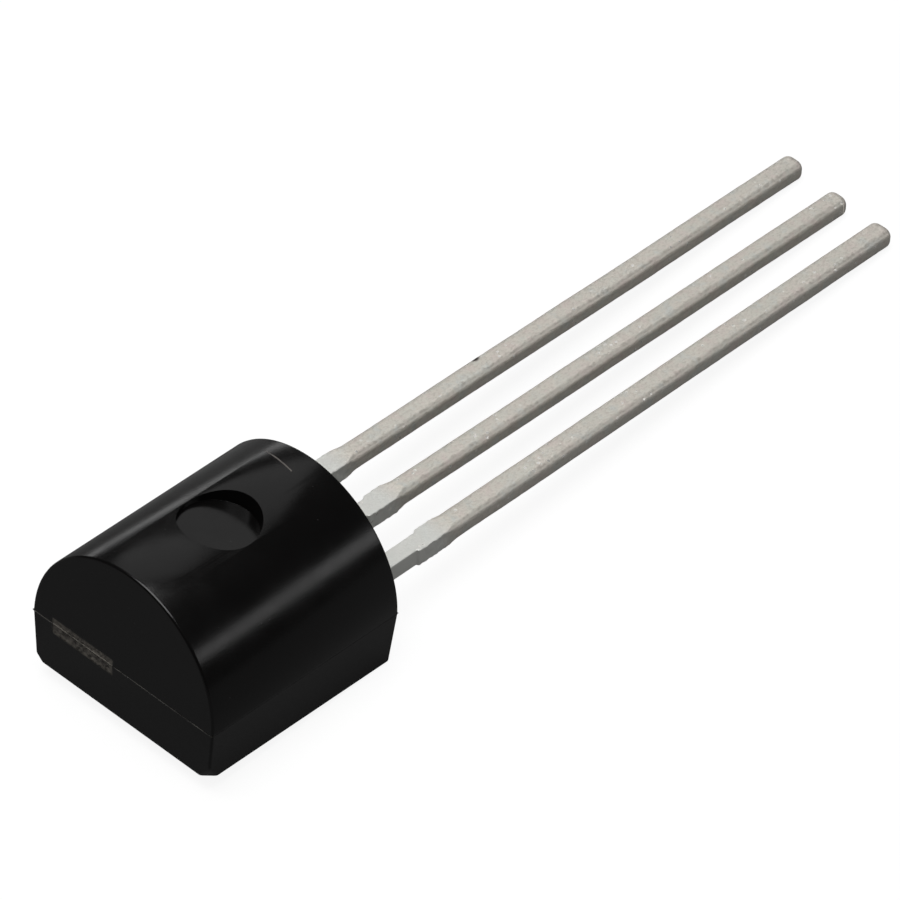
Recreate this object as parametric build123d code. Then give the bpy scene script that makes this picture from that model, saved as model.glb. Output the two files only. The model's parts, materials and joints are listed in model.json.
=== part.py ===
from build123d import *
import os
from math import asin, atan2, cos, degrees, hypot, radians, sin, tan

# A three-lead transistor in a D-shaped moulded body, lying as it comes to rest: on the
# lead-side edge of its flat face and on the end of its longest lead.
# Lengths are in millimetres, angles in degrees. Every piece is first drawn square to the
# package: X across the row of leads, Y out of the body along the leads, Z up from the flat
# face. Y is zero where the leads leave the body, at the parting plane.

# Moulded body
body_width = 4.64          # at the parting plane, which is its widest level
body_length = 4.75         # along the leads, at the parting plane
seam_height = 1.19         # flat face to parting plane; the leads are centred on this plane
crown_rise = 2.32          # parting plane to the top of the round side
side_inset = 0.08          # draft of the flat half: how far its sides come in at the flat face
closed_end_inset = 0.01    # the same at the end away from the leads
lead_end_inset = 0.11      # the same at the end where the leads come out
closed_end_lean = 3.0      # draft of the round half's end face away from the leads
lead_end_lean = 0.2        # the same at the end where the leads come out
edge_radius = 0.05         # rounding round the flat face and round both ends of the round side
corner_clips = {-1: 0.17, 1: 0.24}           # clipped lower corners at the closed end, by side
corner_clip_heights = {-1: 0.16, 1: 0.32}

# Round mark of the ejector pin, sunk in the round side
ejector_diameter = 1.56
ejector_depth = 0.30       # middle of its floor, below the top of the round side
ejector_lean = 4.0         # its floor slopes down this much towards +X and towards the leads

# Scar on the closed end, across the parting plane, where the moulding gate broke off
gate_width = 1.56
gate_height = 0.37
gate_depth = 0.03
gate_from_middle = -1.03   # its centre, across the body
gate_above_seam = -0.05

# Lead frame, stamped from flat strip
lead_pitch = 1.30          # where the leads leave the body
lead_row_shift = 0.03      # the row is this far off the body's middle
strip_thickness = 0.38
stub_width = 0.37          # bare length of lead beside the body
shoulder_width = 0.47      # wider stretch left where the tie bar was sheared off
shoulder_start = 1.30
shoulder_end = 2.05
shear_skew = 0.30          # the shoulder starts this much later on its -X side
stub_corner = 0.02         # rounding of the bare strip's edges where the solder starts

# Solder-coated length of each lead
dipped_widths = (0.46, 0.45, 0.49)      # lead 1, 2, 3
dipped_thickness = 0.40
dipped_corner = 0.11
dip_run_in = 0.30          # length over which the bare section turns into the coated one
lead_reaches = (14.50, 14.34, 14.27)    # root to tip
lead_leans = (0.0, 0.0, -0.45)          # sideways lean towards +X, from the root out
tip_round = 0.10

# Inside the moulding: the centre lead ends in the pad that carries the die, each outer lead
# in a post that takes one bond wire
root_depth = 0.40          # the leads widen this far inside the lead end
neck_width = 0.50
pad_width = 1.50
pad_length = 1.65
pad_cover = 1.10           # moulding between the pad and the closed end
post_width = 1.10
post_gap = 0.20            # moulding between a post and the neck, and a post and the pad
anchor_radius = 0.12       # half-round notches that lock each lead in the moulding
die_side = 0.60
die_thickness = 0.20
attach_margin = 0.05       # the solder under the die shows this far round it
attach_thickness = 0.03
wire_diameter = 0.06
wire_rise = 0.30           # die to the corner of the wire's bend
wire_bend = 0.15           # radius of that bend
wire_pitch = 0.28          # between the two wires' feet on the die
wire_foot_inset = 0.45     # a wire's foot on its post, in from the post's inner edge
wire_overrun = 0.18        # a wire is drawn this far past its foot, then trimmed flush

half_width = body_width / 2
lead_roots = [lead_row_shift + place * lead_pitch for place in (-1, 0, 1)]
centre_root = lead_roots[1]
strip_top = seam_height + strip_thickness / 2
pad_far = -body_length + pad_cover
pad_near = pad_far + pad_length
pad_middle = (pad_far + pad_near) / 2
post_far = pad_near + post_gap
post_middle = (post_far - root_depth) / 2
post_inner = neck_width / 2 + post_gap
attach_top = strip_top + attach_thickness
die_top = attach_top + die_thickness


def prism_along_y(outline):
    """Straight prism from an outline of (x, z) points, longer than the body both ways."""
    sketch = Plane.XZ * make_face(Polyline(*outline, close=True))
    return extrude(sketch, amount=2 * body_length, both=True)


def prism_along_x(outline):
    """Straight prism from an outline of (y, z) points, wider than the body both ways."""
    sketch = Plane.YZ * make_face(Polyline(*outline, close=True))
    return extrude(sketch, amount=body_width, both=True)


def flat_half():
    """The lower half: a shallow block whose four sides draft in towards the flat face."""
    across = prism_along_y([
        (-half_width + side_inset, 0),
        (half_width - side_inset, 0),
        (half_width, seam_height),
        (-half_width, seam_height),
    ])
    along = prism_along_x([
        (-body_length + closed_end_inset, 0),
        (-lead_end_inset, 0),
        (0, seam_height),
        (-body_length, seam_height),
    ])
    return across & along


def round_half():
    """The upper half: a half-round bar whose end faces lean in as they rise."""
    closed_end = -body_length + crown_rise * tan(radians(closed_end_lean))
    lead_end = -crown_rise * tan(radians(lead_end_lean))
    arch = make_face(
        ThreePointArc((-half_width, 0), (0, crown_rise), (half_width, 0))
        + Line((half_width, 0), (-half_width, 0))
    )
    bar = Pos(0, 0, seam_height) * extrude(Plane.XZ * arch, amount=2 * body_length, both=True)
    ends = prism_along_x([
        (-body_length, seam_height),
        (0, seam_height),
        (lead_end, seam_height + crown_rise),
        (closed_end, seam_height + crown_rise),
    ])
    return bar & ends


def clip_corner(solid, side):
    """Slice the lower corner off the closed end, on one side (-1 or 1) of the body."""
    x = side * (half_width - side_inset)
    y = -body_length + closed_end_inset
    along_x = Vector(x - side * corner_clips[side], y, 0)
    along_y = Vector(x, y + corner_clips[side], 0)
    upwards = Vector(x, y, corner_clip_heights[side])
    outwards = side * (along_y - along_x).cross(upwards - along_x)
    return split(solid, bisect_by=Plane(along_x, z_dir=outwards), keep=Keep.BOTTOM)


def ejector_mark():
    """The round recess, centred on the body's length, with a flat, slightly sloping floor."""
    floor = seam_height + crown_rise - ejector_depth
    recess = Cylinder(ejector_diameter / 2, crown_rise, align=(Align.CENTER, Align.CENTER, Align.MIN))
    return Pos(0, -body_length / 2, floor) * Rot(X=-ejector_lean, Y=ejector_lean) * recess


def gate_scar():
    """The shallow break in the closed end, across the parting plane."""
    return Pos(gate_from_middle, -body_length, seam_height + gate_above_seam) * Box(
        gate_width, 2 * gate_depth, gate_height
    )


def moulding():
    """The outside of the moulded body, still solid all through."""
    blank = flat_half() + round_half()
    levels = blank.edges().group_by(Axis.Z)
    body = fillet(levels[0] + levels[-1], edge_radius)
    for side in (-1, 1):
        body = clip_corner(body, side)
    return body - ejector_mark() - gate_scar()


def leaned(place, along, across):
    """Point (x, y) of a lead, from lengths along it from its root and across it towards +X."""
    lean = radians(lead_leans[place])
    if along <= 0:
        return (lead_roots[place] + across, along)
    return (
        lead_roots[place] + along * sin(lean) + across * cos(lean),
        along * cos(lean) - across * sin(lean),
    )


def strip_outline(place, inner_points):
    """Plan of a lead's bare strip: stub and shoulder outside the body, inner_points inside it."""
    stub = stub_width / 2
    shoulder = shoulder_width / 2
    return [
        leaned(place, shoulder_end, shoulder),
        leaned(place, shoulder_start, shoulder),
        leaned(place, shoulder_start, stub),
        (lead_roots[place] + stub, -root_depth),
        *inner_points,
        (lead_roots[place] - stub, -root_depth),
        leaned(place, shoulder_start + shear_skew, -stub),
        leaned(place, shoulder_start + shear_skew, -shoulder),
        leaned(place, shoulder_end, -shoulder),
    ]


def strip(outline, notches):
    """A stamped piece of strip on the parting plane, with round anchor notches cut in it."""
    plan = make_face(Polyline(*outline, close=True))
    for notch in notches:
        plan -= Pos(*notch) * Circle(anchor_radius)
    return Pos(0, 0, seam_height) * extrude(plan, amount=strip_thickness / 2, both=True)


def coated_length(place):
    """The solder-coated length of a lead: it leaves the strip square and ends in a rounded tip."""
    width = dipped_widths[place]
    run_in_end = shoulder_end + dip_run_in
    bare = RectangleRounded(shoulder_width, strip_thickness, stub_corner)
    coated = RectangleRounded(width, dipped_thickness, dipped_corner)
    run_in = loft([Pos(0, 0, shoulder_end) * bare, Pos(0, 0, run_in_end) * coated])
    bar = extrude(Pos(0, 0, run_in_end) * coated, amount=lead_reaches[place] - run_in_end)
    bar = fillet(bar.faces().sort_by(Axis.Z)[-1].edges(), tip_round)
    along_y = Plane(origin=(lead_roots[place], 0, seam_height), x_dir=(-1, 0, 0), z_dir=(0, 1, 0))
    return along_y.location * Rot(Y=-lead_leans[place]) * (run_in + bar)


def centre_lead():
    """The lead with the pad that carries the die."""
    neck = neck_width / 2
    pad = pad_width / 2
    right_side = [(neck, -root_depth), (neck, pad_near), (pad, pad_near), (pad, pad_far)]
    left_side = [(-across, along) for across, along in reversed(right_side)]
    inner_points = [(centre_root + across, along) for across, along in right_side + left_side]
    notches = [(centre_root + across, post_middle) for across in (-neck, neck)]
    return strip(strip_outline(1, inner_points), notches) + coated_length(1)


def outer_lead(place):
    """A lead with a bonding post, on the -X side for place 0 and on the +X side for place 2."""
    side = place - 1
    inner = centre_root + side * post_inner
    outer = inner + side * post_width
    inner_points = [(outer, -root_depth), (outer, post_far), (inner, post_far), (inner, -root_depth)]
    if side < 0:
        inner_points.reverse()
    notches = [(outer, post_middle)]
    return strip(strip_outline(place, inner_points), notches) + coated_length(place)


def block_on(bottom, side, thickness):
    """A square block centred on the pad, with its underside at a given height."""
    standing = (Align.CENTER, Align.CENTER, Align.MIN)
    return Pos(centre_root, pad_middle, bottom) * Box(side, side, thickness, align=standing)


def bond_wire(side):
    """A fine wire that rises from the die, bends over and runs down on to an outer post."""
    die_foot = Vector(centre_root + side * wire_pitch / 2, pad_middle, die_top)
    post_foot = Vector(centre_root + side * (post_inner + wire_foot_inset), post_middle, strip_top)
    bend = die_foot + Vector(0, 0, wire_rise)
    run = (post_foot - bend).normalized()
    path = FilletPolyline(die_foot, bend, post_foot + run * wire_overrun, radius=wire_bend)
    wire = sweep(Plane(die_foot) * Circle(wire_diameter / 2), path=path)
    return split(wire, bisect_by=Plane.XY.offset(strip_top), keep=Keep.TOP)


def rest_tilt():
    """How far the leads dip when the part lies on its flat face's edge and longest lead's end.

    The floor is the line that touches both the rounded edge and the rounded tip from below.
    """
    edge_y = -lead_end_inset - edge_radius
    tip_y = max(lead_reaches) - tip_round
    tip_z = seam_height - dipped_thickness / 2 + tip_round
    run = tip_y - edge_y
    rise = tip_z - edge_radius
    return degrees(atan2(rise, run) - asin((tip_round - edge_radius) / hypot(rise, run)))


pieces = {
    "lead_1": outer_lead(0),
    "lead_2": centre_lead(),
    "lead_3": outer_lead(2),
    "die_attach": block_on(strip_top, die_side + 2 * attach_margin, attach_thickness),
    "die": block_on(attach_top, die_side, die_thickness),
    "bond_wire_1": bond_wire(-1),
    "bond_wire_2": bond_wire(1),
}
body = moulding()
for piece in pieces.values():
    body = body - piece
pieces["body"] = body

# Lay the part down, with the middle of its footprint at the origin
lying = {node: Rot(X=-rest_tilt()) * piece for node, piece in pieces.items()}
box = Compound(list(lying.values())).bounding_box()
to_origin = Pos(-box.center().X, -box.center().Y, -box.min.Z)

os.makedirs("parts", exist_ok=True)
for node, piece in lying.items():
    export_step(to_origin * piece, f"parts/{node}.step")
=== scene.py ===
import json
import math
import bmesh
import bpy
from mathutils import Matrix, Vector, noise


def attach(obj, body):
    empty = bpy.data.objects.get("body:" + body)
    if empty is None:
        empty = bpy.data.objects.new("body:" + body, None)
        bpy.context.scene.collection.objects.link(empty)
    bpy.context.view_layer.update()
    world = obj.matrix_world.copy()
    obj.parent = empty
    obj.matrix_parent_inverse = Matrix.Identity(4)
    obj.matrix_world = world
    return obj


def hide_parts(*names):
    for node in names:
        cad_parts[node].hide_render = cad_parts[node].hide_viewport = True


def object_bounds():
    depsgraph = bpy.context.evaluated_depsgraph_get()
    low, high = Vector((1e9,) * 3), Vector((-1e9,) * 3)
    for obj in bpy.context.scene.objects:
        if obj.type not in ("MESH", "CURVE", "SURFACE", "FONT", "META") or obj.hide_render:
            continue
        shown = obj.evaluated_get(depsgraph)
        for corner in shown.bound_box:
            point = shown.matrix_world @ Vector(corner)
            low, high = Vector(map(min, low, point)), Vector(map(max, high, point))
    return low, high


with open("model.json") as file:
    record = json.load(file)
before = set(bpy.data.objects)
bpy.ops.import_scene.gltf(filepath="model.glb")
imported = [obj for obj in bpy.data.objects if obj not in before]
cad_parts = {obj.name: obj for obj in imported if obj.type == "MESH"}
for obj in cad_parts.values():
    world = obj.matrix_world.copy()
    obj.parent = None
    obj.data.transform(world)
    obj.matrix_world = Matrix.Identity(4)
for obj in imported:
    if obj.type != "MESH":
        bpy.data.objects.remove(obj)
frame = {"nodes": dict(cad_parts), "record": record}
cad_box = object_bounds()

# A three-lead transistor in a D-shaped moulded body, lying on a pale floor.
# Shapes are worked out in millimetres in the package's own axes: X across the row of leads,
# Y out of the body along the leads, Z up from the flat side, Y zero where the leads come out.
# PLACE then lays them where the CAD model lies, in metres.

MM = 0.001

BODY_WIDTH = 4.64
BODY_LENGTH = 4.75
SEAM_HEIGHT = 1.19
CROWN_RISE = 2.32
SIDE_INSET = 0.08
CLOSED_END_INSET = 0.01
LEAD_END_INSET = 0.11
CLOSED_END_LEAN = math.radians(3.0)
LEAD_END_LEAN = math.radians(0.2)
EDGE_RADIUS = 0.05
CORNER_CLIPS = {-1: 0.17, 1: 0.24}
CORNER_CLIP_HEIGHTS = {-1: 0.16, 1: 0.32}

EJECTOR_DIAMETER = 1.56
EJECTOR_DEPTH = 0.30
EJECTOR_LEAN = math.radians(4.0)
GATE_WIDTH = 1.56
GATE_HEIGHT = 0.37
GATE_DEPTH = 0.03
GATE_FROM_MIDDLE = -1.03
GATE_ABOVE_SEAM = -0.05

LEAD_PITCH = 1.30
LEAD_ROW_SHIFT = 0.03
STRIP_THICKNESS = 0.38
STUB_WIDTH = 0.37
SHOULDER_WIDTH = 0.47
SHOULDER_START = 1.30
SHOULDER_END = 2.05
SHEAR_SKEW = 0.30
DIPPED_WIDTHS = (0.46, 0.45, 0.49)
DIPPED_THICKNESS = 0.40
DIPPED_CORNER = 0.13
STUB_CORNER = 0.02
DIP_RUN_IN = 0.30
TIP_LENGTH = 0.13
TIP_SIZE = 0.62             # of a lead's full section, at its very end
LEAD_REACHES = (14.50, 14.34, 14.27)
LEAD_LEANS = (0.0, 0.0, -0.45)
LEAD_ROOTS = [LEAD_ROW_SHIFT + step * LEAD_PITCH for step in (-1, 0, 1)]

HALF_WIDTH = BODY_WIDTH / 2
CROWN_TOP = SEAM_HEIGHT + CROWN_RISE


def package_place():
    """Matrix from the package's axes, in millimetres, to the row frame, in metres."""
    mounts = {mount["name"]: mount for mount in frame["record"]["mounts"]}
    down = Vector(mounts["flat_side"]["axis"])
    seat = Vector(mounts["lead_end_seat"]["pos_m"])
    tilt = math.atan2(-down.y, -down.z)
    from_seat = Matrix.Translation((0, 0, -SEAM_HEIGHT))
    return Matrix.Translation(seat) @ Matrix.Rotation(-tilt, 4, "X") @ Matrix.Scale(MM, 4) @ from_seat


PLACE = package_place()


def smoothstep(low, high, value):
    """0 below low, 1 above high, and an even ease between them."""
    t = min(max((value - low) / (high - low), 0.0), 1.0)
    return t * t * (3 - 2 * t)


def add_object(name, mesh_bm, material=None):
    """A mesh object from a bmesh drawn in the package's millimetres, put where the CAD lies."""
    mesh = bpy.data.meshes.new(name)
    mesh_bm.to_mesh(mesh)
    mesh_bm.free()
    mesh.transform(PLACE)
    piece = bpy.data.objects.new(name, mesh)
    bpy.context.scene.collection.objects.link(piece)
    if material:
        mesh.materials.append(material)
    return piece


def bake_modifiers(piece):
    """Apply a piece's modifiers to its mesh."""
    depsgraph = bpy.context.evaluated_depsgraph_get()
    baked = bpy.data.meshes.new_from_object(piece.evaluated_get(depsgraph))
    piece.modifiers.clear()
    piece.data = baked


# ---------------------------------------------------------------- moulded body


def end_positions(z):
    """Y of the closed end and of the lead end at a height above the flat side."""
    if z < SEAM_HEIGHT:
        inset = 1 - z / SEAM_HEIGHT
        return -BODY_LENGTH + CLOSED_END_INSET * inset, -LEAD_END_INSET * inset
    rise = z - SEAM_HEIGHT
    return -BODY_LENGTH + rise * math.tan(CLOSED_END_LEAN), -rise * math.tan(LEAD_END_LEAN)


def body_blank():
    """The D-shaped block with its drafted sides and clipped lower corners."""
    arc_steps = 144
    outline = [(-HALF_WIDTH + SIDE_INSET, 0.0), (HALF_WIDTH - SIDE_INSET, 0.0)]
    for step in range(arc_steps + 1):
        angle = math.pi * step / arc_steps
        outline.append((HALF_WIDTH * math.cos(angle), SEAM_HEIGHT + CROWN_RISE * math.sin(angle)))
    bm = bmesh.new()
    closed = [bm.verts.new((x, end_positions(z)[0], z)) for x, z in outline]
    open_end = [bm.verts.new((x, end_positions(z)[1], z)) for x, z in outline]
    count = len(outline)
    for i in range(count):
        j = (i + 1) % count
        bm.faces.new((closed[i], closed[j], open_end[j], open_end[i]))
    bm.faces.new((closed[-1], closed[2], closed[1], closed[0]))
    bm.faces.new(closed[:1:-1])
    bm.faces.new((open_end[0], open_end[1], open_end[2], open_end[-1]))
    bm.faces.new(open_end[2:])
    for side in (-1, 1):
        corner = Vector((side * (HALF_WIDTH - SIDE_INSET), -BODY_LENGTH + CLOSED_END_INSET, 0))
        along_x = corner - Vector((side * CORNER_CLIPS[side], 0, 0))
        along_y = corner + Vector((0, CORNER_CLIPS[side], 0))
        upwards = corner + Vector((0, 0, CORNER_CLIP_HEIGHTS[side]))
        outwards = (along_y - along_x).cross(upwards - along_x) * side
        cut = bmesh.ops.bisect_plane(bm, geom=bm.verts[:] + bm.edges[:] + bm.faces[:],
                                     plane_co=along_x, plane_no=outwards, clear_outer=True)
        rim = [item for item in cut["geom_cut"] if isinstance(item, bmesh.types.BMEdge)]
        bmesh.ops.edgeloop_fill(bm, edges=rim)
    bmesh.ops.recalc_face_normals(bm, faces=bm.faces[:])
    return bm


def cutter(name, bm):
    """A hidden object that a boolean takes away from the body."""
    bmesh.ops.recalc_face_normals(bm, faces=bm.faces[:])
    return add_object(name, bm)


def ejector_cutter():
    """A slightly flared cylinder from the ejector mark's floor out through the crown."""
    radius = EJECTOR_DIAMETER / 2
    flare = 0.02
    height = 1.0
    bm = bmesh.new()
    bmesh.ops.create_cone(bm, cap_ends=True, segments=160, radius1=radius,
                          radius2=radius + flare, depth=height)
    bmesh.ops.translate(bm, verts=bm.verts, vec=(0, 0, height / 2))
    lean = Matrix.Rotation(-EJECTOR_LEAN, 4, "X") @ Matrix.Rotation(EJECTOR_LEAN, 4, "Y")
    floor_middle = Matrix.Translation((0, -BODY_LENGTH / 2, CROWN_TOP - EJECTOR_DEPTH))
    bmesh.ops.transform(bm, matrix=floor_middle @ lean, verts=bm.verts)
    return cutter("ejector_cutter", bm)


def gate_cutter():
    """A block with a rough, ragged face, which leaves the gate's broken scar in the closed end."""
    across, upwards = 104, 28
    outside = -0.3
    deepest, highest = 0.045, -0.012
    set_in = 0.008
    bm = bmesh.new()
    grid = []
    for at_scar in (False, True):
        layer = []
        for i in range(across + 1):
            row = []
            for j in range(upwards + 1):
                u = i / across - 0.5
                v = j / upwards - 0.5
                x = u * GATE_WIDTH
                z = v * GATE_HEIGHT
                ragged = noise.noise(Vector((x * 6, z * 6, 1.7)))
                x += 0.05 * ragged * abs(2 * u) ** 3
                z += 0.035 * noise.noise(Vector((x * 5, 3.1, v * 2))) * abs(2 * v) ** 2
                grain = noise.fractal(Vector((x * 16, z * 16, 4.0)), 0.8, 2.2, 4)
                y = GATE_DEPTH * (0.2 + 0.7 * grain) * (1 - abs(2 * u) ** 8) * (1 - abs(2 * v) ** 8)
                y = max(min(y, deepest), highest) if at_scar else outside
                row.append(bm.verts.new((GATE_FROM_MIDDLE + x, -BODY_LENGTH + y + set_in,
                                         SEAM_HEIGHT + GATE_ABOVE_SEAM + z)))
            layer.append(row)
        grid.append(layer)
    for layer in grid:
        for i in range(across):
            for j in range(upwards):
                bm.faces.new((layer[i][j], layer[i + 1][j], layer[i + 1][j + 1], layer[i][j + 1]))
    outer, inner = grid
    for i in range(across):
        for j in (0, upwards):
            bm.faces.new((outer[i][j], outer[i + 1][j], inner[i + 1][j], inner[i][j]))
    for j in range(upwards):
        for i in (0, across):
            bm.faces.new((outer[i][j], outer[i][j + 1], inner[i][j + 1], inner[i][j]))
    return cutter("gate_cutter", bm)


def take_away(piece, tool):
    """Subtract a cutter from a piece for good."""
    cut = piece.modifiers.new("cut", "BOOLEAN")
    cut.operation = "DIFFERENCE"
    cut.solver = "EXACT"
    cut.object = tool
    bake_modifiers(piece)
    bpy.data.objects.remove(tool)


def round_edges(piece, width, angle):
    """Bevel the edges of a piece that are sharper than an angle."""
    bevel = piece.modifiers.new("round", "BEVEL")
    bevel.width = width * MM
    bevel.segments = 3
    bevel.limit_method = "ANGLE"
    bevel.angle_limit = math.radians(angle)
    bevel.use_clamp_overlap = True
    bake_modifiers(piece)


def parting_points(step):
    """Points round the body at the parting plane, with the outward direction at each."""
    corners = [(-HALF_WIDTH, -BODY_LENGTH), (HALF_WIDTH, -BODY_LENGTH),
               (HALF_WIDTH, 0.0), (-HALF_WIDTH, 0.0)]
    sides = [Vector(corners[(i + 1) % 4]) - Vector(corners[i]) for i in range(4)]
    outwards = [Vector((side.y, -side.x)).normalized() for side in sides]
    for i, side in enumerate(sides):
        count = round(side.length / step)
        for k in range(count):
            out = outwards[i] if k else (outwards[i] + outwards[i - 1]) * 0.2
            yield Vector(corners[i]) + side * k / count, out


def add_flash(bm):
    """The thin ridge of flash round the parting plane, which shows most on the closed end."""
    sunk = 0.02
    rings = []
    for point, out in parting_points(0.04):
        wander = noise.noise(Vector((point.x * 2.3, point.y * 2.3, 7.0)))
        grain = noise.noise(Vector((point.x * 11, point.y * 11, 2.0)))
        at_closed_end = smoothstep(-BODY_LENGTH + 0.02, -BODY_LENGTH, point.y)
        if abs(point.x - GATE_FROM_MIDDLE) < GATE_WIDTH / 2:
            at_closed_end = 0.0
        proud = (0.003 + 0.010 * at_closed_end) * (1 + 0.6 * wander + 0.3 * grain)
        half = 0.007 + 0.007 * at_closed_end
        tip = point + out * proud
        root = point - out * sunk
        rings.append([
            bm.verts.new((root.x, root.y, SEAM_HEIGHT - half)),
            bm.verts.new((tip.x, tip.y, SEAM_HEIGHT)),
            bm.verts.new((root.x, root.y, SEAM_HEIGHT + half)),
        ])
    for i, ring in enumerate(rings):
        after = rings[(i + 1) % len(rings)]
        for j in range(3):
            k = (j + 1) % 3
            bm.faces.new((ring[j], after[j], after[k], ring[k]))


def join_into(piece, bm):
    """Add a bmesh, drawn in package millimetres, to a piece's mesh."""
    bmesh.ops.recalc_face_normals(bm, faces=bm.faces[:])
    extra = bpy.data.meshes.new("extra")
    bm.to_mesh(extra)
    bm.free()
    extra.transform(PLACE)
    both = bmesh.new()
    both.from_mesh(piece.data)
    both.from_mesh(extra)
    both.to_mesh(piece.data)
    both.free()
    bpy.data.meshes.remove(extra)


def smooth(piece, angle):
    """Smooth shading, broken at edges sharper than an angle, with flats kept flat."""
    piece.data.polygons.foreach_set("use_smooth", [True] * len(piece.data.polygons))
    piece.data.set_sharp_from_angle(angle=math.radians(angle))
    weighted = piece.modifiers.new("normals", "WEIGHTED_NORMAL")
    weighted.keep_sharp = True
    weighted.weight = 80


def make_body(material):
    """The moulded body, with its rounded edges, ejector mark, gate scar and flash line."""
    body = add_object("moulded_body", body_blank(), material)
    round_edges(body, EDGE_RADIUS, 35)
    take_away(body, ejector_cutter())
    round_edges(body, 0.018, 55)
    take_away(body, gate_cutter())
    flash = bmesh.new()
    add_flash(flash)
    join_into(body, flash)
    smooth(body, 32)
    return body


# ---------------------------------------------------------------- leads


def rounded_section(left, right, half_thickness, corner, steps=8):
    """Points round a rounded rectangle, each with its outward direction, in (x, z)."""
    points = []
    corner = min(corner, half_thickness * 0.98, (left + right) / 2 * 0.98)
    centres = ((right, half_thickness, 0), (-left, half_thickness, 1),
               (-left, -half_thickness, 2), (right, -half_thickness, 3))
    for x, z, quarter in centres:
        cx = x - math.copysign(corner, x)
        cz = z - math.copysign(corner, z)
        for step in range(steps + 1):
            angle = math.pi / 2 * (quarter + step / steps)
            out = (math.cos(angle), math.sin(angle))
            points.append((cx + corner * out[0], cz + corner * out[1], out))
    dense = []
    for i, point in enumerate(points):
        after = points[(i + 1) % len(points)]
        dense.append(point)
        if (i + 1) % (steps + 1) == 0:
            for part in (0.17, 0.33, 0.5, 0.67, 0.83):
                dense.append((
                    point[0] + (after[0] - point[0]) * part,
                    point[1] + (after[1] - point[1]) * part,
                    point[2],
                ))
    return dense


def lead_stations(reach):
    """Distances along a lead at which its section is drawn, closer together where it changes."""
    start = -0.30
    stations = []
    place = start
    while place < reach - TIP_LENGTH:
        stations.append(place)
        place += 0.02 if SHOULDER_START - 0.1 < place < SHOULDER_END + DIP_RUN_IN else 0.03
    tip_steps = 14
    for step in range(tip_steps + 1):
        stations.append(reach - TIP_LENGTH * (1 - math.sin(math.pi / 2 * step / tip_steps)))
    return stations


def lead_section(index, along, reach):
    """Left and right half widths, half thickness, corner radius and how coated a lead is at a place."""
    stub = STUB_WIDTH / 2
    shoulder = SHOULDER_WIDTH / 2
    right_start, left_start = SHOULDER_START, SHOULDER_START + SHEAR_SKEW
    right = stub + (shoulder - stub) * smoothstep(right_start - 0.01, right_start + 0.03, along)
    left = stub + (shoulder - stub) * smoothstep(left_start - 0.04, left_start + 0.06, along)
    coated = smoothstep(SHOULDER_END - 0.05, SHOULDER_END + DIP_RUN_IN, along)
    width = DIPPED_WIDTHS[index] / 2
    right += (width - right) * coated
    left += (width - left) * coated
    half_thickness = (STRIP_THICKNESS + (DIPPED_THICKNESS - STRIP_THICKNESS) * coated) / 2
    corner = STUB_CORNER + (DIPPED_CORNER - STUB_CORNER) * coated
    from_tip = reach - along
    if from_tip < TIP_LENGTH:
        fullness = math.sqrt(max(1 - (1 - from_tip / TIP_LENGTH) ** 2, 0.0))
        ease = TIP_SIZE + (1 - TIP_SIZE) * fullness
        left, right, half_thickness = left * ease, right * ease, half_thickness * ease
    return left, right, half_thickness, corner, coated


def lead_mesh(index):
    """A lead outside the body: bare stub, sheared shoulder and a solder-coated length."""
    reach = LEAD_REACHES[index]
    lean = math.radians(LEAD_LEANS[index])
    seed = 11.0 * (index + 1)
    bm = bmesh.new()
    rings = []
    for along in lead_stations(reach):
        left, right, half_thickness, corner, coated = lead_section(index, along, reach)
        sway = 0.010 * noise.noise(Vector((along * 0.35, seed, 0.5))) * smoothstep(2.0, 5.0, along)
        lift = 0.006 * noise.noise(Vector((along * 0.3, seed, 9.5))) * smoothstep(2.0, 5.0, along)
        ring = []
        for x, z, out in rounded_section(left, right, half_thickness, corner):
            broad = noise.noise(Vector((x * 2.5 + seed, along * 1.1, z * 2.5)))
            fine = noise.noise(Vector((x * 9 + seed, along * 6, z * 9)))
            proud = (0.0045 * broad + 0.0025 * fine) * coated + 0.0012 * fine * (1 - coated)
            sheared = smoothstep(SHOULDER_START, SHOULDER_START + 0.1, along) * (1 - coated) * out[0] ** 2
            proud += sheared * 0.022 * noise.noise(Vector((along * 11, seed, z * 5 + out[0])))
            px = x + out[0] * proud + sway
            pz = z + out[1] * proud + lift
            if along <= 0:
                place = (LEAD_ROOTS[index] + px, along, SEAM_HEIGHT + pz)
            else:
                place = (
                    LEAD_ROOTS[index] + along * math.sin(lean) + px * math.cos(lean),
                    along * math.cos(lean) - px * math.sin(lean),
                    SEAM_HEIGHT + pz,
                )
            ring.append(bm.verts.new(place))
        rings.append(ring)
    for ring, after in zip(rings, rings[1:]):
        for i in range(len(ring)):
            j = (i + 1) % len(ring)
            bm.faces.new((ring[i], ring[j], after[j], after[i]))
    bm.faces.new(rings[0])
    bm.faces.new(list(reversed(rings[-1])))
    bmesh.ops.recalc_face_normals(bm, faces=bm.faces[:])
    return bm


def inner_part(node):
    """The stretch of a CAD lead that is sealed in the moulding, closed where it is cut off."""
    bm = bmesh.new()
    bm.from_mesh(frame["nodes"][node].data)
    bmesh.ops.remove_doubles(bm, verts=bm.verts[:], dist=0.0005 * MM)
    cut_at = PLACE @ Vector((0, -0.15, SEAM_HEIGHT))
    outwards = (PLACE.to_3x3() @ Vector((0, 1, 0))).normalized()
    cut = bmesh.ops.bisect_plane(bm, geom=bm.verts[:] + bm.edges[:] + bm.faces[:],
                                 plane_co=cut_at, plane_no=outwards, clear_outer=True)
    rim = [item for item in cut["geom_cut"] if isinstance(item, bmesh.types.BMEdge)]
    bmesh.ops.edgeloop_fill(bm, edges=rim)
    return bm


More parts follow.
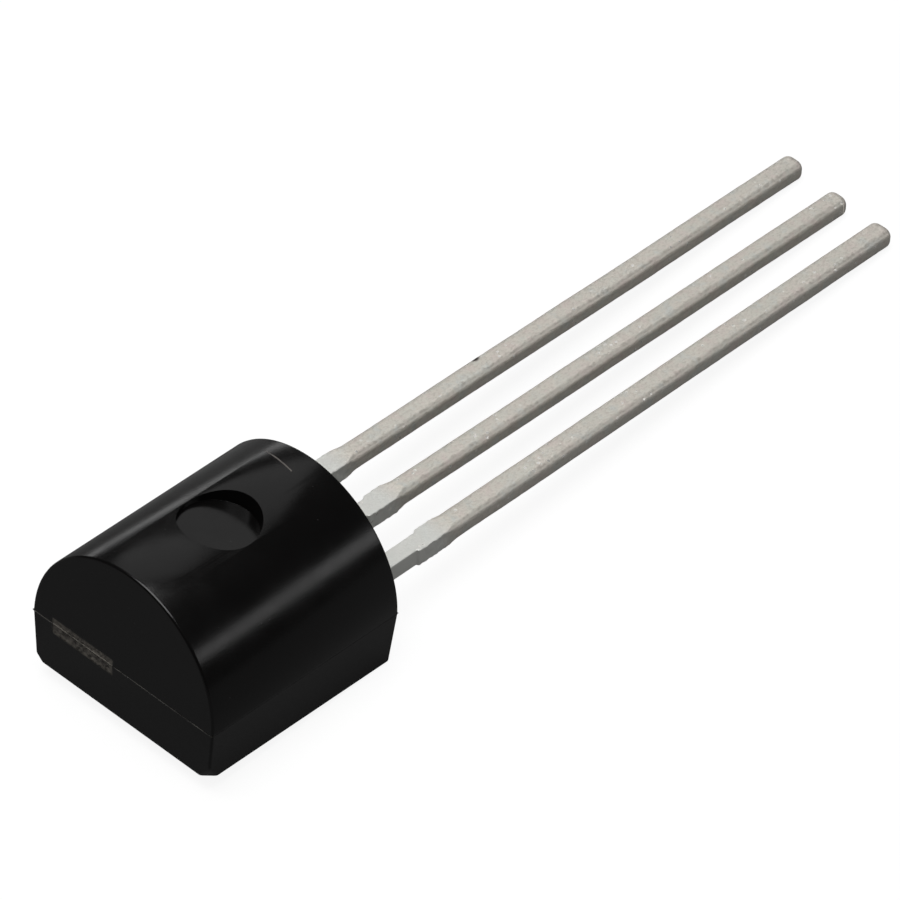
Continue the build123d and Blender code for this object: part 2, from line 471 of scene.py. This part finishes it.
def make_lead(index, material):
    """One lead: its coated outside length joined to the post or pad inside the moulding."""
    node = f"lead_{index + 1}"
    lead = add_object(f"tinned_{node}", lead_mesh(index), material)
    both = bmesh.new()
    both.from_mesh(lead.data)
    hidden = bpy.data.meshes.new("hidden")
    inside = inner_part(node)
    inside.to_mesh(hidden)
    inside.free()
    both.from_mesh(hidden)
    both.to_mesh(lead.data)
    both.free()
    bpy.data.meshes.remove(hidden)
    lead.data.polygons.foreach_set("use_smooth", [True] * len(lead.data.polygons))
    lead.data.set_sharp_from_angle(angle=math.radians(38))
    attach(lead, "root")
    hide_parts(node)
    return lead


# ---------------------------------------------------------------- materials


class Nodes:
    """A material's node tree, with short calls for the nodes used here."""

    def __init__(self, name):
        self.material = bpy.data.materials.new(name)
        self.material.use_nodes = True
        self.tree = self.material.node_tree
        self.shader = self.tree.nodes["Principled BSDF"]
        coordinates = self.tree.nodes.new("ShaderNodeTexCoord")
        self.place = coordinates.outputs["Object"]

    def node(self, kind, **inputs):
        made = self.tree.nodes.new("ShaderNode" + kind)
        for key, value in inputs.items():
            self.feed(made.inputs[key.replace("_", " ")], value)
        return made

    def feed(self, socket, value):
        if isinstance(value, bpy.types.NodeSocket):
            self.tree.links.new(value, socket)
        else:
            socket.default_value = value

    def package(self):
        """Position in the package's axes, in millimetres."""
        back = PLACE.inverted()
        mapping = self.node("Mapping", Vector=self.place)
        mapping.inputs["Location"].default_value = back.to_translation()
        mapping.inputs["Rotation"].default_value = back.to_euler()
        mapping.inputs["Scale"].default_value = back.to_scale()
        return mapping.outputs["Vector"]

    def noise(self, where, scale, detail=3.0, roughness=0.55, stretch=None):
        """Noise from 0 to 1 with features about 1 / scale millimetres across."""
        if stretch:
            squeezed = self.node("Mapping", Vector=where)
            squeezed.inputs["Scale"].default_value = stretch
            where = squeezed.outputs["Vector"]
        made = self.node("TexNoise", Vector=where, Scale=scale, Detail=detail, Roughness=roughness)
        return made.outputs["Fac"]

    def span(self, value, low, high, to_low=0.0, to_high=1.0):
        """value rescaled from low..high to to_low..to_high, eased and held at the ends."""
        made = self.node("MapRange")
        made.interpolation_type = "SMOOTHSTEP"
        for socket, number in zip(made.inputs, (value, low, high, to_low, to_high)):
            self.feed(socket, number)
        return made.outputs["Result"]

    def maths(self, operation, first, second=0.0):
        made = self.tree.nodes.new("ShaderNodeMath")
        made.operation = operation
        self.feed(made.inputs[0], first)
        self.feed(made.inputs[1], second)
        return made.outputs[0]

    def mix(self, factor, first, second):
        """Blend of two colours."""
        made = self.tree.nodes.new("ShaderNodeMix")
        made.data_type = "RGBA"
        self.feed(made.inputs["Factor"], factor)
        for socket, value in ((made.inputs[6], first), (made.inputs[7], second)):
            self.feed(socket, value if isinstance(value, bpy.types.NodeSocket) else (*value, 1.0))
        return made.outputs[2]

    def bump(self, height, strength, distance, under=None):
        made = self.node("Bump", Height=height, Strength=strength, Distance=distance * MM)
        if under:
            self.feed(made.inputs["Normal"], under)
        return made.outputs["Normal"]

    def near_line(self, where, start, end, half_width, fade):
        """1 near the straight line between two points, falling to 0 past half_width."""
        start, end = Vector(start), Vector(end)
        run = end - start
        from_start = self.vector("SUBTRACT", where, tuple(start))
        part = self.maths("DIVIDE", self.vector("DOT_PRODUCT", from_start, tuple(run), "Value"),
                          run.length_squared)
        clamped = self.node("Clamp", Value=part).outputs[0]
        scaled = self.tree.nodes.new("ShaderNodeVectorMath")
        scaled.operation = "SCALE"
        scaled.inputs[0].default_value = tuple(run)
        self.feed(scaled.inputs["Scale"], clamped)
        away = self.vector("DISTANCE", from_start, scaled.outputs[0], "Value")
        return self.span(away, half_width, half_width + fade, 1.0, 0.0)

    def vector(self, operation, first, second, output="Vector"):
        made = self.tree.nodes.new("ShaderNodeVectorMath")
        made.operation = operation
        self.feed(made.inputs[0], first)
        self.feed(made.inputs[1], second)
        return made.outputs[output]


def epoxy():
    """Black moulding compound: satin, faintly grained, with scuffs, dust, a dull gate scar and a painted
    highlight along the seam on the closed end.
    """
    m = Nodes("black_epoxy")
    where = m.package()
    parts = m.node("SeparateXYZ", Vector=where).outputs
    clouds = m.noise(where, 0.9, 4.0, 0.6)
    grain = m.noise(where, 38.0, 2.0, 0.5)
    colour = m.mix(clouds, (0.0020, 0.0019, 0.0019), (0.0036, 0.0033, 0.0032))

    plan = m.node("CombineXYZ", X=parts[0], Y=parts[1]).outputs[0]
    scratch = m.near_line(plan, (-0.75, -0.41, 0), (0.03, -0.55, 0), 0.006, 0.016)
    broken = m.span(m.noise(where, 9.0, 3.0), 0.36, 0.52, 0.35, 1.0)
    on_top = m.span(parts[2], CROWN_TOP - 0.4, CROWN_TOP - 0.3)
    scratch = m.maths("MULTIPLY", m.maths("MULTIPLY", scratch, broken), on_top)
    speck_cells = m.node("TexVoronoi", Vector=where, Scale=2.3)
    specks = m.span(speck_cells.outputs["Distance"], 0.018, 0.030, 1.0, 0.0)

    past_end = m.span(parts[1], -BODY_LENGTH + 0.06, -BODY_LENGTH + 0.10, 1.0, 0.0)
    in_width = m.span(m.maths("ABSOLUTE", m.maths("SUBTRACT", parts[0], GATE_FROM_MIDDLE)),
                      GATE_WIDTH / 2 - 0.03, GATE_WIDTH / 2 + 0.02, 1.0, 0.0)
    in_height = m.span(
        m.maths("ABSOLUTE", m.maths("SUBTRACT", parts[2], SEAM_HEIGHT + GATE_ABOVE_SEAM)),
        GATE_HEIGHT / 2 - 0.03, GATE_HEIGHT / 2 + 0.02, 1.0, 0.0)
    gate = m.maths("MULTIPLY", past_end, m.maths("MULTIPLY", in_width, in_height))
    gate_grain = m.span(m.noise(where, 9.0, 4.0, 0.7), 0.36, 0.58, 0.35, 1.0)
    colour = m.mix(m.maths("MULTIPLY", gate, gate_grain), colour, (0.150, 0.137, 0.120))
    # Painted highlight: a lighter, broken line along the parting seam on the closed end, standing in for
    # light caught by the flash ridge.
    from_seam = m.maths("ABSOLUTE", m.maths("SUBTRACT", parts[2], SEAM_HEIGHT))
    seam_highlight = m.span(from_seam, 0.008, 0.020, 1.0, 0.0)
    at_closed_end = m.span(parts[1], -BODY_LENGTH + 0.03, -BODY_LENGTH + 0.10, 1.0, 0.0)
    seam_highlight = m.maths("MULTIPLY", seam_highlight, at_closed_end)
    seam_highlight = m.maths("MULTIPLY", seam_highlight, m.span(m.noise(where, 3.5, 3.0), 0.38, 0.60, 0.3, 1.0))
    seam_highlight = m.maths("MULTIPLY", seam_highlight, m.maths("SUBTRACT", 1.0, gate))
    colour = m.mix(seam_highlight, colour, (0.060, 0.056, 0.051))
    colour = m.mix(scratch, colour, (0.12, 0.11, 0.10))
    colour = m.mix(m.maths("MULTIPLY", specks, 0.30), colour, (0.10, 0.10, 0.10))
    m.feed(m.shader.inputs["Base Color"], colour)

    rough = m.span(m.noise(where, 1.7, 4.0, 0.6), 0.3, 0.7, 0.17, 0.22)
    rough = m.maths("ADD", rough, m.maths("MULTIPLY", gate, 0.4))
    rough = m.maths("ADD", rough, m.maths("MULTIPLY", scratch, 0.2))
    m.feed(m.shader.inputs["Roughness"], rough)
    m.shader.inputs["IOR"].default_value = 1.5
    m.shader.inputs["Specular IOR Level"].default_value = 0.36
    normal = m.bump(grain, 0.30, 0.003)
    normal = m.bump(m.noise(where, 4.0, 2.0), 0.05, 0.02, normal)
    m.feed(m.shader.inputs["Normal"], normal)
    return m.material


def tinned_lead():
    """Solder-coated copper alloy: matte, mottled with faint tints, pitted, and flecked with shinier spots
    whose near-white colour is a painted glint.
    """
    m = Nodes("tinned_lead")
    where = m.package()
    parts = m.node("SeparateXYZ", Vector=where).outputs
    patches = m.noise(where, 2.2, 4.0, 0.6, (1.6, 0.7, 1.6))
    tint = m.noise(where, 3.1, 3.0, 0.6)
    mottle = m.noise(where, 18.0, 4.0, 0.6, (1.2, 0.7, 1.2))
    colour = m.mix(m.span(patches, 0.35, 0.65), (0.81, 0.765, 0.69), (0.78, 0.76, 0.685))
    colour = m.mix(m.span(tint, 0.45, 0.75), colour, (0.80, 0.72, 0.665))
    colour = m.mix(m.span(tint, 0.50, 0.22), colour, (0.74, 0.75, 0.71))
    colour = m.mix(m.span(mottle, 0.55, 0.34, 0.0, 0.32), colour, (0.50, 0.45, 0.385))
    pits = m.span(m.noise(where, 21.0, 3.0, 0.7, (1.0, 0.7, 1.0)), 0.66, 0.74)
    colour = m.mix(m.maths("MULTIPLY", pits, 0.12), colour, (0.20, 0.17, 0.15))
    # Flecks: shinier spots (lower roughness), given a near-white colour that is a painted glint.
    fleck_and_glint_cells = m.node("TexVoronoi", Vector=where, Scale=5.0)
    flecks_and_glints = m.span(fleck_and_glint_cells.outputs["Distance"], 0.13, 0.20, 1.0, 0.0)
    clusters = m.span(m.noise(where, 0.8, 2.0), 0.44, 0.54, 0.1, 1.0)
    flecks_and_glints = m.maths("MULTIPLY", flecks_and_glints, clusters)
    bare = m.span(parts[1], SHOULDER_END - 0.25, SHOULDER_END + 0.25, 1.0, 0.0)
    colour = m.mix(m.maths("MULTIPLY", bare, 0.8), colour, (0.86, 0.875, 0.84))
    colour = m.mix(flecks_and_glints, colour, (1.0, 0.98, 0.92))
    # A small, very dark spot near the top left edge of the first lead.
    dark_spot_place = (LEAD_ROOTS[0] - 0.20, 5.84, SEAM_HEIGHT + 0.20)
    dark_spot = m.span(m.vector("DISTANCE", where, dark_spot_place, "Value"), 0.06, 0.13, 1.0, 0.0)
    colour = m.mix(dark_spot, colour, (0.05, 0.035, 0.03))
    m.feed(m.shader.inputs["Base Color"], colour)
    m.shader.inputs["Metallic"].default_value = 0.65
    rough = m.span(mottle, 0.3, 0.7, 0.36, 0.52)
    rough = m.maths("SUBTRACT", rough, m.maths("MULTIPLY", flecks_and_glints, 0.18))
    m.feed(m.shader.inputs["Roughness"], rough)
    normal = m.bump(mottle, 0.55, 0.014)
    normal = m.bump(m.noise(where, 34.0, 2.0, 0.5, (1.0, 0.6, 1.0)), 0.35, 0.006, normal)
    m.feed(m.shader.inputs["Normal"], normal)
    return m.material


def hidden_finish(name, first, second, scale, metallic, roughness):
    """A two-tone finish for a piece that is sealed inside the moulding."""
    m = Nodes(name)
    where = m.package()
    pattern = m.noise(where, scale, 4.0)
    m.feed(m.shader.inputs["Base Color"], m.mix(m.span(pattern, 0.4, 0.6), first, second))
    m.shader.inputs["Metallic"].default_value = metallic
    m.feed(m.shader.inputs["Roughness"], m.span(pattern, 0.3, 0.7, roughness, roughness + 0.15))
    m.feed(m.shader.inputs["Normal"], m.bump(pattern, 0.2, 0.003))
    return m.material


def floor_paint(lit, seen, glossy):
    """Pale floor: it takes the lamps' light and shadow, and the eye sees it near white."""
    material = bpy.data.materials.new("floor_paint")
    material.use_nodes = True
    tree = material.node_tree
    tree.nodes.clear()
    out = tree.nodes.new("ShaderNodeOutputMaterial")
    add = tree.nodes.new("ShaderNodeAddShader")
    diffuse = tree.nodes.new("ShaderNodeBsdfDiffuse")
    glow = tree.nodes.new("ShaderNodeEmission")
    diffuse.inputs["Color"].default_value = (lit, lit, lit, 1)
    tree.links.new(ray_strength(tree, camera=seen, glossy=glossy, other=0.0), glow.inputs["Strength"])
    tree.links.new(diffuse.outputs[0], add.inputs[0])
    tree.links.new(glow.outputs[0], add.inputs[1])
    tree.links.new(add.outputs[0], out.inputs["Surface"])
    return material


def ray_strength(tree, camera, glossy, other):
    """A strength that differs for rays from the eye, rays in a reflection and all others."""
    rays = tree.nodes.new("ShaderNodeLightPath")

    def choose(test, yes, no):
        pick = tree.nodes.new("ShaderNodeMix")
        pick.data_type = "FLOAT"
        tree.links.new(test, pick.inputs[0])
        for socket, value in ((pick.inputs[2], no), (pick.inputs[3], yes)):
            if isinstance(value, bpy.types.NodeSocket):
                tree.links.new(value, socket)
            else:
                socket.default_value = value
        return pick.outputs[0]

    mirrored = choose(rays.outputs["Is Glossy Ray"], glossy, other)
    through = choose(rays.outputs["Is Transmission Ray"], camera, mirrored)
    return choose(rays.outputs["Is Camera Ray"], camera, through)


# ---------------------------------------------------------------- stage, light and camera


def direction(azimuth, elevation):
    """Unit vector towards a place round the object. Azimuth 0 is on the -Y side, 90 on +X."""
    a, e = math.radians(azimuth), math.radians(elevation)
    return Vector((math.sin(a) * math.cos(e), -math.cos(a) * math.cos(e), math.sin(e)))


def make_floor():
    half_side = 0.6
    mesh = bpy.data.meshes.new("floor")
    corners = [(-half_side, -half_side), (half_side, -half_side),
               (half_side, half_side), (-half_side, half_side)]
    mesh.from_pydata([(x, y, cad_box[0].z) for x, y in corners], [], [(0, 1, 2, 3)])
    mesh.materials.append(floor_paint(lit=0.14, seen=0.90, glossy=0.03))
    floor = bpy.data.objects.new("floor", mesh)
    bpy.context.scene.collection.objects.link(floor)


def make_world():
    world = bpy.data.worlds.new("studio")
    world.use_nodes = True
    tree = world.node_tree
    glow = tree.nodes["Background"]
    glow.inputs["Color"].default_value = (1, 1, 1, 1)
    tree.links.new(ray_strength(tree, camera=1.0, glossy=0.05, other=0.12), glow.inputs["Strength"])
    bpy.context.scene.world = world


def area_lamp(name, azimuth, elevation, distance, width, height, radiance, roll=0.0):
    """A soft lamp aimed at the object; radiance is how bright its face looks, 1 being white."""
    lamp = bpy.data.lights.new(name, "AREA")
    lamp.shape = "RECTANGLE"
    lamp.size, lamp.size_y = width, height
    lamp.energy = radiance * math.pi * width * height
    lamp_object = bpy.data.objects.new(name, lamp)
    bpy.context.scene.collection.objects.link(lamp_object)
    towards = direction(azimuth, elevation)
    middle = (cad_box[0] + cad_box[1]) / 2
    lamp_object.location = middle + towards * distance
    aim = (-towards).to_track_quat("-Z", "Y").to_matrix().to_4x4()
    lamp_object.rotation_euler = (aim @ Matrix.Rotation(math.radians(roll), 4, "Z")).to_euler()


def make_lamps():
    area_lamp("overhead", -20, 84, 0.40, 0.30, 0.30, 4.6)
    area_lamp("side_strip", 127, 22, 0.40, 0.34, 0.070, 1.7, roll=-21)
    area_lamp("back_left", -134, 44, 0.40, 0.22, 0.24, 0.60)
    area_lamp("low_left", -126, 5, 0.40, 0.30, 0.05, 1.6)


def make_camera():
    """A long lens from the front right, about 45 degrees up and turned a little off level."""
    lens_mm = 378.2
    sensor_mm = 36
    roll = math.radians(-0.90)
    distance = 173.7 * MM
    aim = (cad_box[0] + cad_box[1]) / 2 + Vector((0.58, -1.71, 0.01)) * MM
    back = direction(45.03, 44.87)
    camera = bpy.data.cameras.new("camera")
    camera.lens = lens_mm
    camera.sensor_width = sensor_mm
    camera.clip_start = 0.01
    camera.clip_end = 10
    camera_object = bpy.data.objects.new("camera", camera)
    bpy.context.scene.collection.objects.link(camera_object)
    camera_object.location = aim + back * distance
    turn = (-back).to_track_quat("-Z", "Y").to_matrix().to_4x4()
    camera_object.rotation_euler = (turn @ Matrix.Rotation(roll, 4, "Z")).to_euler()
    bpy.context.scene.camera = camera_object


def make_object():
    """Every visible piece, and the finish of the pieces sealed inside."""
    body = make_body(epoxy())
    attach(body, "root")
    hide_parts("body")
    tin = tinned_lead()
    for index in range(3):
        make_lead(index, tin)
    finishes = {
        "die": hidden_finish("silicon", (0.16, 0.17, 0.20), (0.24, 0.25, 0.28), 9.0, 0.6, 0.15),
        "die_attach": hidden_finish("die_solder", (0.5, 0.5, 0.5), (0.6, 0.6, 0.6), 12.0, 0.9, 0.35),
        "bond_wire_1": hidden_finish("wire", (0.78, 0.78, 0.78), (0.86, 0.86, 0.86), 20.0, 1.0, 0.25),
    }
    finishes["bond_wire_2"] = finishes["bond_wire_1"]
    for node, finish in finishes.items():
        slots = frame["nodes"][node].data.materials
        slots.clear()
        slots.append(finish)


bpy.context.scene.view_settings.view_transform = "Standard"
make_object()
make_floor()
make_world()
make_lamps()
make_camera()
